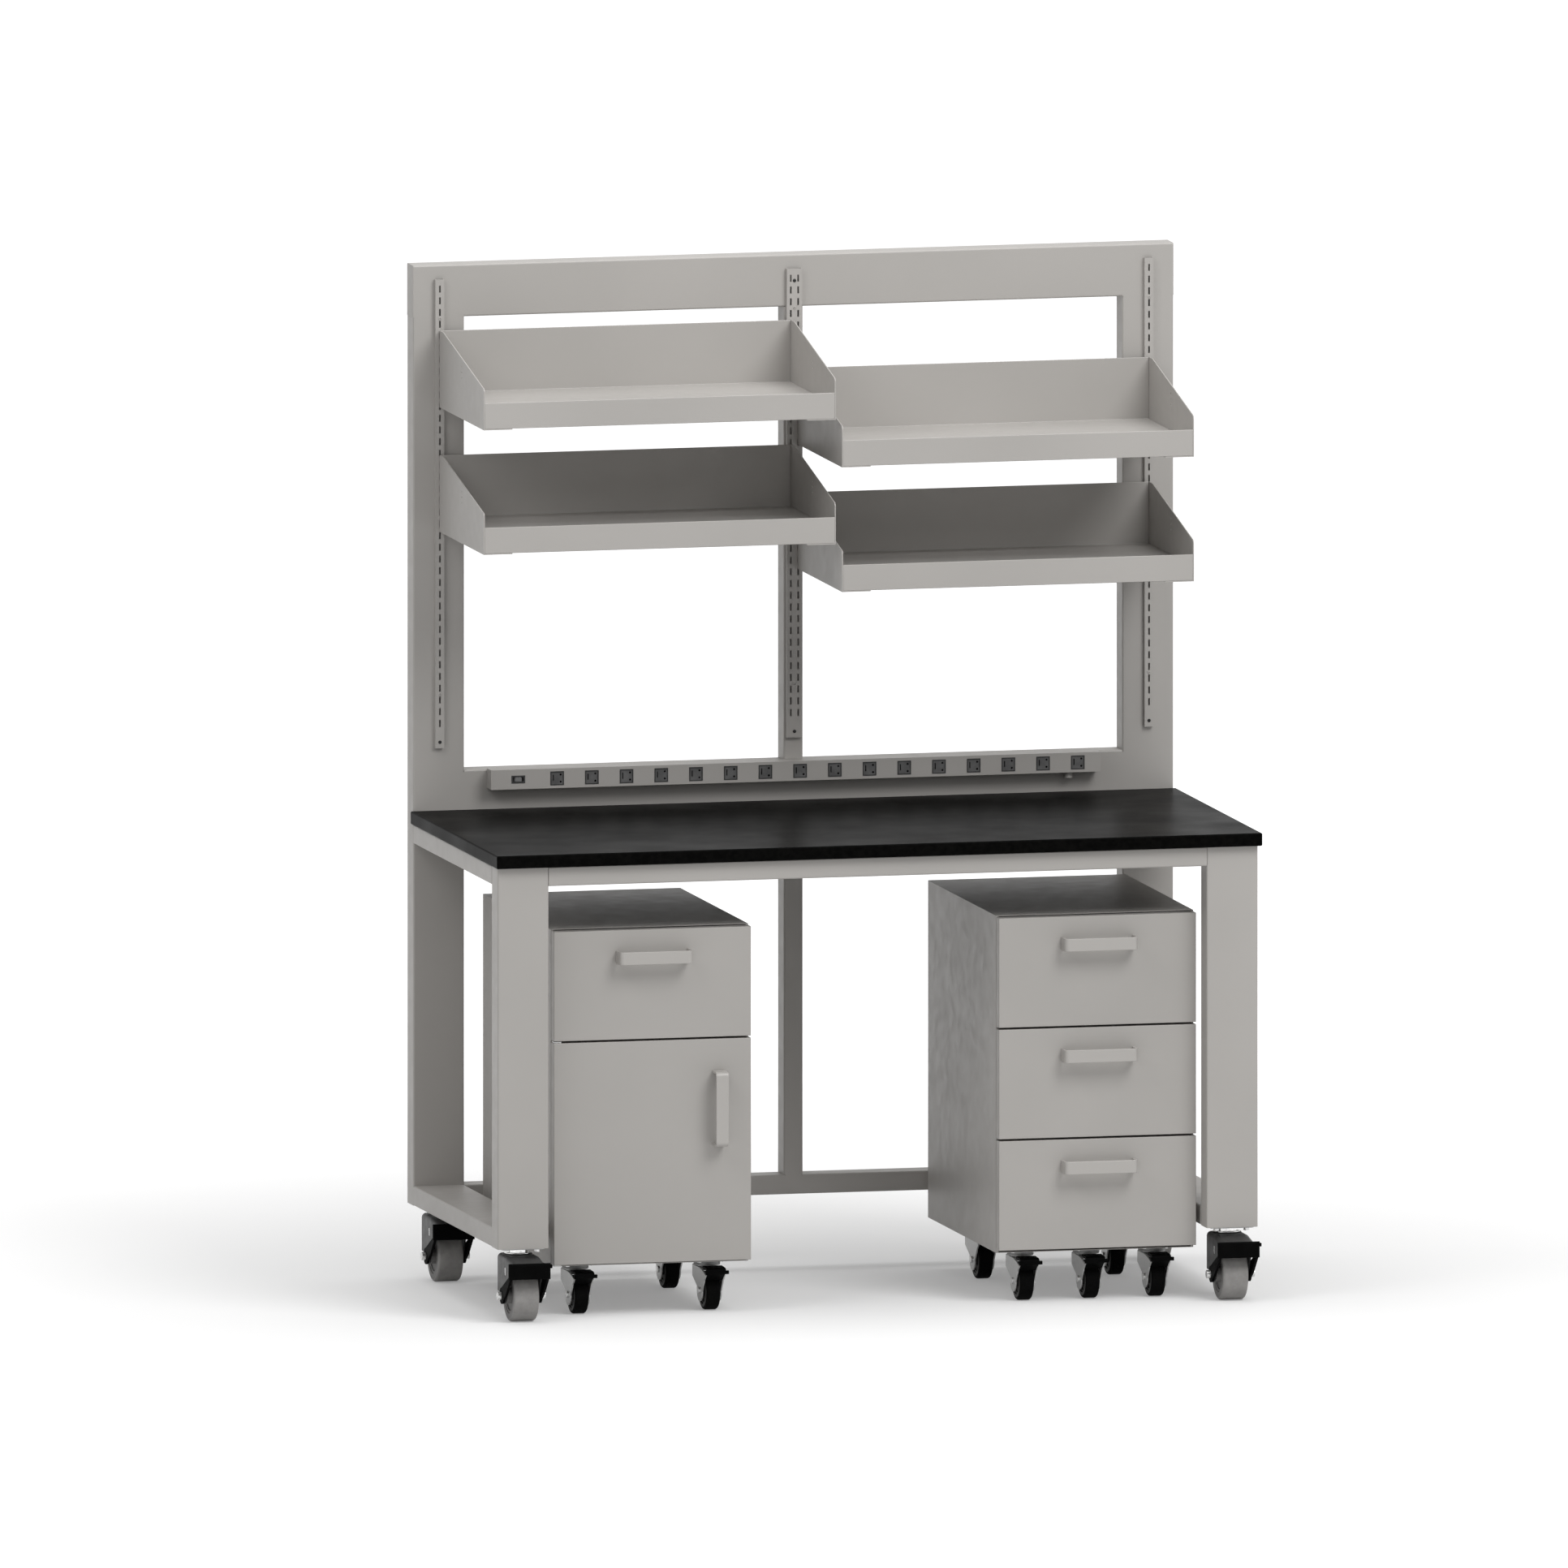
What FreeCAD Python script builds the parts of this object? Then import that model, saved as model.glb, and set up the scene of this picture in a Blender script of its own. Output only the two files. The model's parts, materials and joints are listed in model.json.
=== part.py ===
import FreeCAD, Part
import math
import os

os.makedirs("parts", exist_ok=True)
V = FreeCAD.Vector

# A mobile laboratory bench: a welded tube frame on four total-lock casters, a thick dark worktop,
# slotted standards that carry four reagent trays, a power strip on the rear rail, and two mobile
# pedestals with drawers and a cupboard.  Millimetres; X to the right, Y to the rear, Z up; the
# origin lies on the floor under the middle of the overall box.

# ---- worktop and frame ----
worktop_width = 1524.0
worktop_depth = 711.2
worktop_thickness = 25.4
bench_height = 914.4
worktop_edge = 1.6
side_overhang = 5.3
front_overhang = 15.0
tube_wide = 101.6
tube_deep = 50.8
tube_radius = 3.5
tube_wall = 3.0
rail_height = 38.1
post_width = 38.1
frame_top = 1978.0
splash_height = 77.1          # how far the rear middle rail stands above the worktop

# ---- slotted standards ----
standard_top_gap = 27.0       # from the top of the frame
standard_foot_gap = 45.1      # from the middle rail
standard_width = 17.6
double_width = 30.2
standard_depth = 9.5
standard_wall = 1.6
slot_pitch = 22.9
slot_height = 13.6
slot_width = 3.4
first_slot = 18.5             # top of the standard to the first slot's centre
slot_blank = 45.0             # shortest plain length at the standard's foot
slot_columns = 7.3            # half the distance between the two columns
screw_hole_radius = 2.6
screw_margin = 12.0

# ---- reagent trays ----
sheet = 2.0
tray_depth = 366.0
tray_back_height = 147.5
tray_lip_height = 50.8
tray_deck = 25.4              # foot of the lip to the underside of the tray's floor
tray_return = 14.0            # flanges turned in under the lip and the back
bracket_front_height = 78.0
bracket_flat = 30.0
bracket_flange = 55.0
bracket_sheet = 2.0
bracket_corner = 8.0
bracket_hole_radius = 2.0
bracket_hole_pitch = 11.0
tray_gap = 0.3                # bracket to the standard's face
hook_height = 8.0
hook_nose = 3.6
left_tray_drops = (274.0, 516.9)      # top of the frame to the undersides of the tray floors
right_tray_drops = (367.6, 610.7)

# ---- power strip ----
strip_length = 1213.0
strip_height = 38.4
strip_depth = 35.0
strip_above_worktop = 41.0
strip_wall = 1.5
strip_centre_x = -3.5
outlet_size = 27.0
outlet_pitch = 69.1
outlet_count = 16
first_outlet = 131.3          # left end of the strip to the first outlet's centre
outlet_rim = 2.0
outlet_proud = 0.8
outlet_depth = 14.0
switch_from_end = 54.0
switch_width = 27.0
switch_height = 15.0
rocker_margin = 3.0
rocker_proud = 1.2
rocker_dish_radius = 40.0
rocker_dish_depth = 1.2
rocker_pin_radius = 1.2
rocker_tilt = 7.0             # degrees
gland_radius = 8.0
gland_length = 12.0
gland_from_end = 60.0

# ---- bench casters ----
bench_caster_height = 144.7
bench_wheel_radius = 50.0
bench_wheel_width = 50.0
bench_wheel_edge = 5.0
bench_trail = 31.0
bench_plate_length = 102.0
bench_plate_width = 86.0
bench_plate_thickness = 4.0
bench_bolt_length = 80.0      # hole spacing along the plate
bench_bolt_width = 60.0       # hole spacing across the plate
bench_nut_radius = 6.0
bench_nut_height = 5.5
bench_race_radius = 20.0
bench_race_height = 12.0
bench_crown_radius = 29.0
bench_crown_rise = 1.0        # crown above the fork's flat top
bench_fork_half = 34.0
bench_leg_thickness = 3.0
bench_bend = 9.0              # outside radius where the fork's sheet turns down
bench_leg_rear = 22.0         # rear edge of the legs behind the kingpin
bench_leg_low = 54.0          # foot of that straight edge
bench_leg_corner_y = -94.0    # front upper corner of the legs
bench_leg_corner_z = 101.0
bench_waist_y = -64.0         # hollow of the legs' front edge
bench_waist_z = 86.0
bench_slot_y = -42.0          # upright slot in the legs
bench_slot_low = 90.0
bench_slot_length = 16.0
bench_slot_width = 7.0
bench_hood_from = -47.0
bench_hood_reach = 97.0
bench_hood_drop = 8.0
bench_boss_radius = 13.0
bench_axle_radius = 5.0
bench_head_radius = 8.0
bench_head_length = 8.0
pedal_reach = 105.0
pedal_sheet = 3.0
pedal_half = 41.5
pedal_low = 89.0
pedal_high = 120.0
pedal_corner = 3.0
pedal_arm = 5.0
pedal_ring = 16.0
pedal_toe_y = -66.0           # front lobe of the arms
pedal_toe_z = 56.0
pedal_ear = 4.0
front_kingpin_inset = 70.0    # front of the legs to the front kingpins
rear_kingpin_inset = 52.0     # rear of the frame to the rear kingpins
kingpin_offset = 5.0          # casters sit this far to the right of the legs' middles

# ---- pedestal casters ----
small_caster_height = 99.0
small_wheel_radius = 37.5
small_wheel_width = 28.0
small_wheel_edge = 5.0
small_trail = 20.0
small_plate_length = 72.0
small_plate_width = 60.0
small_plate_thickness = 3.0
small_bolt_length = 54.0
small_bolt_width = 42.0
small_nut_radius = 4.5
small_nut_height = 3.5
small_race_radius = 14.0
small_race_height = 12.0
small_crown_radius = 18.5
small_crown_rise = 1.0
small_fork_half = 20.0
small_leg_thickness = 2.5
small_bend = 2.0
small_leg_rear = 38.0
small_leg_low = 60.0
small_leg_corner_y = -72.0
small_leg_corner_z = 73.0
small_waist_y = -58.0
small_waist_z = 61.0
small_hood_from = -18.0
small_hood_reach = 38.0
small_hood_drop = 2.0
small_boss_radius = 21.0
small_axle_radius = 3.5
small_head_radius = 6.5
small_head_length = 3.0
brake_reach = 80.0
brake_rear = 43.0             # rear edge of the brake's cap
brake_sheet = 4.5
brake_shoe_y = -60.0          # foot of the brake in front of the wheel
brake_shoe_z = 64.0
brake_half = 19.0
brake_low = 75.0
brake_high = 88.0
brake_pivot_y = -48.0
brake_pivot_z = 71.5
brake_pin_radius = 2.0
brake_hub_radius = 5.0
brake_ear = 6.0
brake_travel = 8.0            # degrees

# ---- pedestals ----
left_pedestal_gap = 22.6      # between a parked pedestal and the frame's leg
right_pedestal_gap = 8.6
pedestal_width = 393.0
pedestal_depth = 560.0
pedestal_top = 757.0
pedestal_set_back = 51.5      # front faces of the drawers behind the bench's front legs
front_thickness = 23.0
front_gap = 4.0
front_bumper = 2.0            # front panels to the carcass
front_side_margin = 0.3
front_top_margin = 2.6
door_bottom_margin = 5.1
drawer_bottom_margin = 6.9
panel_sheet = 1.5
panel_edge = 1.5
carcass_return = 5.5
runner_fixed = 5.5
runner_moving = 6.0
runner_slack = 0.3
runner_height = 35.0
runner_length = 500.0
drawer_length = 515.0
drawer_rise = 24.0            # bottom of the front panel to the drawer's bottom
drawer_headroom = 24.5        # top of the front panel to the drawer's top
caster_inset_x = 65.5
caster_inset_front = 69.5
caster_inset_rear = 154.8
door_axis_side = 6.0          # door's left edge to its hinge axis
door_axis_front = 5.0         # door's front face to its hinge axis
hinge_pin_radius = 2.0
hinge_pin_length = 12.0
hinge_plate_width = 14.0
hinge_plate_thickness = 2.5

# ---- handles ----
handle_length = 146.0
handle_width = 25.0
handle_height = 35.0
handle_thickness = 4.5
handle_bend = 9.0
handle_from_top = 52.0
handle_from_edge = 65.0
door_handle_drop = 61.3       # top of the door to the top of its handle

# ---- clearances ----
run_gap = 0.3                 # between pieces that slide or turn past each other
shaft_gap = 0.05              # radial, around a running pin or axle

# ---- derived levels and faces ----
frame_half = worktop_width / 2 - side_overhang
leg_inner = frame_half - tube_wide
leg_centre = frame_half - tube_wide / 2
worktop_low = bench_height - worktop_thickness
pedal_overhang = max(pedal_reach - front_kingpin_inset - front_overhang, 0.0)
frame_rear = (worktop_depth + tube_deep + pedal_overhang) / 2
frame_face = frame_rear - tube_deep            # front face of the rear frame
worktop_front = frame_face - worktop_depth
leg_front = worktop_front + front_overhang
leg_rear = leg_front + tube_deep
frame_low = bench_caster_height
low_rail_top = frame_low + rail_height
top_rail_low = frame_top - tube_wide
mid_rail_top = bench_height + splash_height
mid_rail_low = mid_rail_top - tube_wide
apron_low = worktop_low - rail_height
standard_face = frame_face - standard_depth
standard_top = frame_top - standard_top_gap
standard_low = mid_rail_top + standard_foot_gap
slot_count = int((standard_top - standard_low - first_slot - slot_blank) / slot_pitch) + 1
left_trays = [frame_top - drop for drop in left_tray_drops]
right_trays = [frame_top - drop for drop in right_tray_drops]
left_pedestal_x = -leg_inner + left_pedestal_gap + pedestal_width / 2
right_pedestal_x = leg_inner - right_pedestal_gap - pedestal_width / 2


def box(x0, x1, y0, y1, z0, z1):
    return Part.makeBox(x1 - x0, y1 - y0, z1 - z0, V(x0, y0, z0))


def cylinder(radius, x, y, z, direction, length):
    return Part.makeCylinder(radius, length, V(x, y, z), direction)


def prism(points, direction):
    """A closed polygon pushed along a direction."""
    wire = Part.makePolygon([V(*p) for p in points] + [V(*points[0])])
    return Part.Face(wire).extrude(direction)


def side_profile(points, x0, x1):
    """A (y, z) outline given a thickness from x0 to x1."""
    return prism([(x0, y, z) for y, z in points], V(x1 - x0, 0, 0))


def edges_along(shape, axis):
    found = []
    for edge in shape.Edges:
        if len(edge.Vertexes) != 2:
            continue
        run = edge.Vertexes[1].Point - edge.Vertexes[0].Point
        if abs(run.normalize().dot(axis)) > 0.999:
            found.append(edge)
    return found


def ridge_edges(shape, low):
    """The edges above a level that run mostly front to rear."""
    found = []
    for edge in shape.Edges:
        a, b = edge.Vertexes[0].Point, edge.Vertexes[-1].Point
        if min(a.z, b.z) > low - 0.1 and abs(a.y - b.y) > 2 * abs(a.z - b.z):
            found.append(edge)
    return found


def rounded_bar(x0, x1, y0, y1, z0, z1, axis, radius):
    """A bar whose long edges, parallel to axis, are rounded."""
    bar = box(x0, x1, y0, y1, z0, z1)
    return bar.makeFillet(radius, edges_along(bar, axis)) if radius > 0.05 else bar


def shrink(bounds, axis, amount):
    """Move the faces that are parallel to axis inwards."""
    x0, x1, y0, y1, z0, z1 = bounds
    dx = 0 if abs(axis.x) > 0.5 else amount
    dy = 0 if abs(axis.y) > 0.5 else amount
    dz = 0 if abs(axis.z) > 0.5 else amount
    return (x0 + dx, x1 - dx, y0 + dy, y1 - dy, z0 + dz, z1 - dz)


def tube(bounds, axis, capped=()):
    """A rectangular tube with rounded corners, and a plate set into each capped end."""
    inner = shrink(bounds, axis, tube_wall)
    inner_radius = max(tube_radius - tube_wall, 0.5)
    core = rounded_bar(*inner, axis, inner_radius)
    pieces = [rounded_bar(*bounds, axis, tube_radius).cut(core)]
    for end in capped:
        cap = list(inner)
        side = 0 if abs(axis.x) > 0.5 else (2 if abs(axis.y) > 0.5 else 4)
        if end == "high":
            cap[side] = cap[side + 1] - tube_wall
        else:
            cap[side + 1] = cap[side] + tube_wall
        pieces.append(rounded_bar(*cap, axis, inner_radius))
    return pieces


X, Y, Z = V(1, 0, 0), V(0, 1, 0), V(0, 0, 1)
parts = {}


def add(node, shapes):
    parts.setdefault(node, []).extend(shapes)


def mirrored(bounds):
    x0, x1, y0, y1, z0, z1 = bounds
    return (-x1, -x0, y0, y1, z0, z1)


# ---- worktop ----
def build_worktop():
    top = box(-worktop_width / 2, worktop_width / 2, worktop_front, frame_face, worktop_low, bench_height)
    add("worktop", [top.makeChamfer(worktop_edge, edges_along(top, X) + edges_along(top, Y))])


# ---- welded frame ----
def build_frame():
    leg = (leg_inner, frame_half, leg_front, leg_rear, frame_low, worktop_low)
    upright = (leg_inner, frame_half, frame_face, frame_rear, frame_low, top_rail_low)
    side_low = (leg_inner, frame_half, leg_rear, frame_face, frame_low, low_rail_top)
    side_top = (leg_inner, frame_half, leg_rear, frame_face, apron_low, worktop_low)
    for place in (lambda b: b, mirrored):
        add("frame_uprights", tube(place(leg), Z, ("low",)) + tube(place(upright), Z, ("low",)))
        add("bench_rails", tube(place(side_low), Y) + tube(place(side_top), Y))
    add("bench_rails", tube((-leg_inner, leg_inner, leg_front, leg_rear, apron_low, worktop_low), X))
    rear_apron = (-leg_inner, leg_inner, frame_face - tube_deep, frame_face, apron_low, worktop_low)
    add("bench_rails", tube(rear_apron, X))
    top = (-frame_half, frame_half, frame_face, frame_rear, top_rail_low, frame_top)
    middle = (-leg_inner, leg_inner, frame_face, frame_rear, mid_rail_low, mid_rail_top)
    bottom = (-leg_inner, leg_inner, frame_face, frame_rear, frame_low, low_rail_top)
    add("rear_rails", tube(top, X, ("low", "high")) + tube(middle, X) + tube(bottom, X))
    for low, high in ((mid_rail_top, top_rail_low), (low_rail_top, mid_rail_low)):
        add("rear_rails", tube((-post_width / 2, post_width / 2, frame_face, frame_rear, low, high), Z))


# ---- slotted standards ----
def slot_level(index):
    return standard_top - first_slot - index * slot_pitch


def build_standard(x, width, columns):
    outer = box(x - width / 2, x + width / 2, standard_face, frame_face, standard_low, standard_top)
    hollow = box(x - width / 2 + standard_wall, x + width / 2 - standard_wall,
                 standard_face + standard_wall, frame_face, standard_low, standard_top)
    cuts = [hollow]
    for column in columns:
        for index in range(slot_count):
            z = slot_level(index)
            cuts.append(box(column - slot_width / 2, column + slot_width / 2, standard_face,
                            standard_face + standard_wall, z - slot_height / 2, z + slot_height / 2))
    screws = []
    land = (slot_pitch - slot_height) / 2 + slot_height / 2
    levels = [standard_low + screw_margin, slot_level(slot_count - 4) - land,
              slot_level(slot_count // 2) - land, slot_level(2) - land]
    if len(columns) > 1:
        levels.append(slot_level(0) - slot_height / 3)
    for z in levels:
        cuts.append(cylinder(screw_hole_radius, x, standard_face, z, Y, standard_wall))
        shank = screw_hole_radius - shaft_gap
        screws.append(cylinder(shank, x, standard_face + 0.5, z, Y, standard_depth - 0.5))
    add("slotted_standards", [outer.cut(Part.makeCompound(cuts))] + screws)


def build_standards():
    build_standard(-leg_centre, standard_width, (-leg_centre,))
    build_standard(0.0, double_width, (-slot_columns, slot_columns))
    build_standard(leg_centre, standard_width, (leg_centre,))


# ---- reagent trays ----
tray_rear = standard_face - tray_gap
tray_front = tray_rear - tray_depth


def hook(x, z):
    """A tab through a slot with its nose turned down behind the standard's face."""
    inside = standard_face + standard_wall + run_gap
    tip = inside + bracket_sheet
    points = [(tray_rear, z - hook_height / 2), (inside, z - hook_height / 2),
              (inside, z - hook_height / 2 - hook_nose), (tip, z - hook_height / 2 - hook_nose),
              (tip, z + hook_height / 2), (tray_rear, z + hook_height / 2)]
    return side_profile(points, x - bracket_sheet / 2, x + bracket_sheet / 2)


def build_bracket(x, level, inward):
    """An end plate in line with a slot column, with its foot turned inwards under the pan."""
    x0, x1 = x - bracket_sheet / 2, x + bracket_sheet / 2
    low = level - bracket_sheet
    back = level + tray_back_height
    outline = [(tray_front, low), (tray_rear, low), (tray_rear, back), (tray_rear - bracket_flat, back),
               (tray_front, level + bracket_front_height)]
    plate = side_profile(outline, x0, x1)
    corners = [e for e in edges_along(plate, X)
               if e.Vertexes[0].Z > level + tray_lip_height and e.Vertexes[0].Y < tray_rear - 1]
    plate = plate.makeFillet(bracket_corner, corners)
    foot_from, foot_to = (x1, x1 + bracket_flange) if inward > 0 else (x0 - bracket_flange, x0)
    foot = box(foot_from, foot_to, tray_front, tray_rear, low, level)
    plate = plate.fuse(foot)
    levels = [slot_level(i) for i in range(slot_count)]
    hung = [z for z in levels if level + hook_height < z < back - hook_height - hook_nose][::3]
    for z in hung:
        plate = plate.fuse(hook(x, z))
    middle = (tray_front + tray_rear) / 2
    for step in (-1, 0, 1):
        z = level + (tray_lip_height + tray_back_height) / 2 - bracket_hole_pitch + step * bracket_hole_pitch
        plate = plate.cut(cylinder(bracket_hole_radius, x0, middle, z, X, bracket_sheet))
    return plate.removeSplitter()


def build_tray(x_left, x_right, level):
    x0, x1 = x_left + bracket_sheet / 2, x_right - bracket_sheet / 2
    back = level + tray_back_height
    rear = tray_rear - run_gap
    deck = level + tray_deck
    lip = box(x0, x1, tray_front, tray_front + sheet, level, level + tray_lip_height)
    pieces = [box(x0, x1, rear - sheet, rear, level, back), box(x0, x1, tray_front, rear, deck, deck + sheet),
              box(x0, x1, tray_front, tray_front + tray_return, level, level + sheet),
              box(x0, x1, rear - tray_return, rear, level, level + sheet)]
    add("shelf_trays", [lip.fuse(pieces).removeSplitter()])
    add("shelf_brackets", [build_bracket(x_left, level, 1), build_bracket(x_right, level, -1)])


def build_trays():
    for level in left_trays:
        build_tray(-leg_centre, -slot_columns, level)
    for level in right_trays:
        build_tray(slot_columns, leg_centre, level)


# ---- power strip ----
strip_low = bench_height + strip_above_worktop
strip_high = strip_low + strip_height
strip_front = frame_face - strip_depth
strip_left = strip_centre_x - strip_length / 2
strip_right = strip_centre_x + strip_length / 2
strip_middle = (strip_low + strip_high) / 2
switch_x = strip_left + switch_from_end


def build_outlet(x):
    """A square insert with one upright slot and two round holes, sunk into the strip."""
    half = outlet_size / 2
    front = strip_front - outlet_proud
    body = box(x - half, x + half, front, strip_front + outlet_depth,
               strip_middle - half, strip_middle + half)
    rim = half - outlet_rim
    recess = box(x - rim, x + rim, front, front + 1.0, strip_middle - rim, strip_middle + rim)
    blade = box(x - 8.5, x - 6.5, front, front + 9.0, strip_middle - 5.0, strip_middle + 7.0)
    cuts = [recess, blade]
    for dz in (-6.0, 8.0):
        cuts.append(cylinder(2.0, x + 7.0, front, strip_middle + dz - 1.0, Y, 9.0))
    return body.cut(Part.makeCompound(cuts))


def build_strip():
    outer = box(strip_left, strip_right, strip_front, frame_face, strip_low, strip_high)
    inner = box(strip_left + strip_wall, strip_right - strip_wall, strip_front + strip_wall, frame_face,
                strip_low + strip_wall, strip_high - strip_wall)
    cuts = [inner]
    half = outlet_size / 2
    for index in range(outlet_count):
        x = strip_left + first_outlet + index * outlet_pitch
        cuts.append(box(x - half, x + half, strip_front, strip_front + strip_wall,
                        strip_middle - half, strip_middle + half))
        add("power_outlets", [build_outlet(x)])
    half_x, half_z = switch_width / 2, switch_height / 2
    cuts.append(box(switch_x - half_x, switch_x + half_x, strip_front, strip_front + strip_wall,
                    strip_middle - half_z, strip_middle + half_z))
    gland_x = strip_right - gland_from_end
    gland_y = (strip_front + frame_face) / 2
    gland = cylinder(gland_radius, gland_x, gland_y, strip_low - gland_length, Z, gland_length)
    throat = cylinder(gland_radius / 2, gland_x, gland_y, strip_low - gland_length, Z,
                      gland_length + strip_wall)
    add("power_strip", [outer.cut(Part.makeCompound(cuts)).cut(throat), gland.cut(throat)])


def build_switch():
    """A bezel that carries a rocker on an upright pin; the rocker rests tipped to one side."""
    front = strip_front - outlet_proud
    half_x, half_z = switch_width / 2, switch_height / 2
    well_x, well_z = half_x - rocker_margin, half_z - rocker_margin
    bezel = box(switch_x - half_x, switch_x + half_x, front, strip_front + outlet_depth,
                strip_middle - half_z, strip_middle + half_z)
    well = box(switch_x - well_x, switch_x + well_x, front, strip_front + outlet_depth - strip_wall,
               strip_middle - well_z, strip_middle + well_z)
    pivot_y = strip_front + outlet_depth / 2
    pin = cylinder(rocker_pin_radius, switch_x, pivot_y, strip_middle - well_z, Z, 2 * well_z)
    add("power_outlets", [bezel.cut(well), pin])
    # the rocker is a disc about its pin, flattened at the back and dished at the front
    radius = pivot_y - front + rocker_proud
    wide, tall = well_x - 2 * run_gap, well_z - run_gap
    drum = cylinder(radius, switch_x, pivot_y, strip_middle - tall, Z, 2 * tall)
    face = front - rocker_proud
    block = box(switch_x - wide, switch_x + wide, face, pivot_y + 2 * rocker_pin_radius,
                strip_middle - tall, strip_middle + tall)
    dish = cylinder(rocker_dish_radius, switch_x, face - rocker_dish_radius + rocker_dish_depth,
                    strip_middle - tall, Z, 2 * tall)
    bore = cylinder(rocker_pin_radius + shaft_gap, switch_x, pivot_y, strip_middle - tall, Z, 2 * tall)
    rocker = block.common(drum).cut(dish).cut(bore)
    rocker.rotate(V(switch_x, pivot_y, 0), Z, -rocker_tilt)
    add("power_rocker", [rocker])


# ---- casters, drawn about their kingpin with the wheel trailing to the front ----
def caster_plate(height, length, width, thickness, bolt_length, bolt_width, nut_radius, nut_height,
                 race_radius, race_height, crown_thickness):
    """Top plate with its ball race and riveted kingpin, and the four bolts' nuts."""
    under_plate = height - thickness
    plate = rounded_bar(-width / 2, width / 2, -length / 2, length / 2, under_plate, height, Z, nut_radius)
    race = cylinder(race_radius, 0, 0, under_plate - race_height + run_gap, Z, race_height - run_gap)
    pin_radius = race_radius * 0.25
    rivet = under_plate - race_height - crown_thickness - run_gap
    kingpin = cylinder(pin_radius, 0, 0, rivet, Z, under_plate - rivet)
    head = cylinder(pin_radius * 1.6, 0, 0, rivet - 2.5, Z, 2.5)
    pieces = [plate.fuse([race, kingpin, head]).removeSplitter()]
    for sx in (-1, 1):
        for sy in (-1, 1):
            x, y = sx * bolt_width / 2, sy * bolt_length / 2
            corners = [(x + nut_radius * math.cos(math.radians(60 * k)),
                        y + nut_radius * math.sin(math.radians(60 * k)), under_plate - nut_height)
                       for k in range(6)]
            pieces.append(prism(corners, V(0, 0, nut_height)))
    return pieces


def caster_fork(crown_top, crown_rise, crown_radius, pin_radius, half, thickness, bend, leg_rear, leg_low,
                corner_y, corner_z, waist_y, waist_z, hood_from, hood_reach, hood_drop, trail, wheel_radius,
                boss_radius):
    """A pressed fork: a crown on a bent channel whose sloping hood and flat legs are one sheet."""
    top = crown_top - crown_rise
    nose = top - hood_drop
    outline = [(leg_rear, top), (hood_from, top), (-hood_reach, nose), (corner_y, corner_z),
               (waist_y, waist_z), (-trail - boss_radius, wheel_radius),
               (-trail + boss_radius * 0.95, wheel_radius + boss_radius * 0.3), (leg_rear, leg_low)]
    fork = side_profile(outline, -half, half)
    fork = fork.makeFillet(bend, ridge_edges(fork, corner_z)).fuse(
        cylinder(boss_radius, -half, -trail, wheel_radius, X, 2 * half))
    ahead, behind, slope = corner_y - 2 * bend, leg_rear + 2 * bend, hood_drop / (hood_reach + hood_from)
    under = side_profile([(behind, top - thickness), (hood_from, top - thickness),
                          (ahead, top - thickness + slope * (ahead - hood_from)), (ahead, 0), (behind, 0)],
                         thickness - half, half - thickness)
    under = under.makeFillet(max(bend - thickness, bend * 0.2), ridge_edges(under, corner_z * 0.9))
    open_front = box(thickness - half, half - thickness, ahead, -hood_reach, 0, crown_top)
    fork = fork.cut([under, open_front])
    crown = cylinder(crown_radius, 0, 0, top - thickness, Z, crown_rise + thickness)
    fork = fork.fuse(crown)
    return fork.cut(cylinder(pin_radius + shaft_gap, 0, 0, 0, Z, 2 * crown_top)).removeSplitter()


def axle_bolt(radius, half, head_radius, head_length, y, z):
    """A bolt along X with a head or nut outside each face."""
    bolt = cylinder(radius, -half - head_length, y, z, X, 2 * (half + head_length))
    for x in (-half - head_length, half):
        bolt = bolt.fuse(cylinder(head_radius, x, y, z, X, head_length))
    return bolt.removeSplitter()


def caster_wheel(radius, width, edge, trail, axle_radius, hub_half):
    """A tyre on a moulded core whose hub runs on the axle between the fork's legs."""
    rim = radius * 0.7
    tyre = cylinder(radius, -width / 2, -trail, radius, X, width)
    rims = [e for e in tyre.Edges if abs(e.Length - 2 * math.pi * radius) < 0.01]
    tyre = tyre.makeFillet(edge, rims).cut(cylinder(rim, -width, -trail, radius, X, 2 * width))
    core_half = width / 2 - edge * 0.4
    dish = edge * 0.5
    core = cylinder(rim, -core_half, -trail, radius, X, 2 * core_half)
    for x0 in (-core_half, core_half - dish):
        core = core.cut(cylinder(rim * 0.85, x0, -trail, radius, X, dish))
    core = core.fuse(cylinder(radius * 0.3, -hub_half, -trail, radius, X, 2 * hub_half))
    bore = cylinder(axle_radius + shaft_gap, -hub_half, -trail, radius, X, 2 * hub_half)
    return [tyre, core.cut(bore).removeSplitter()]


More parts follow.
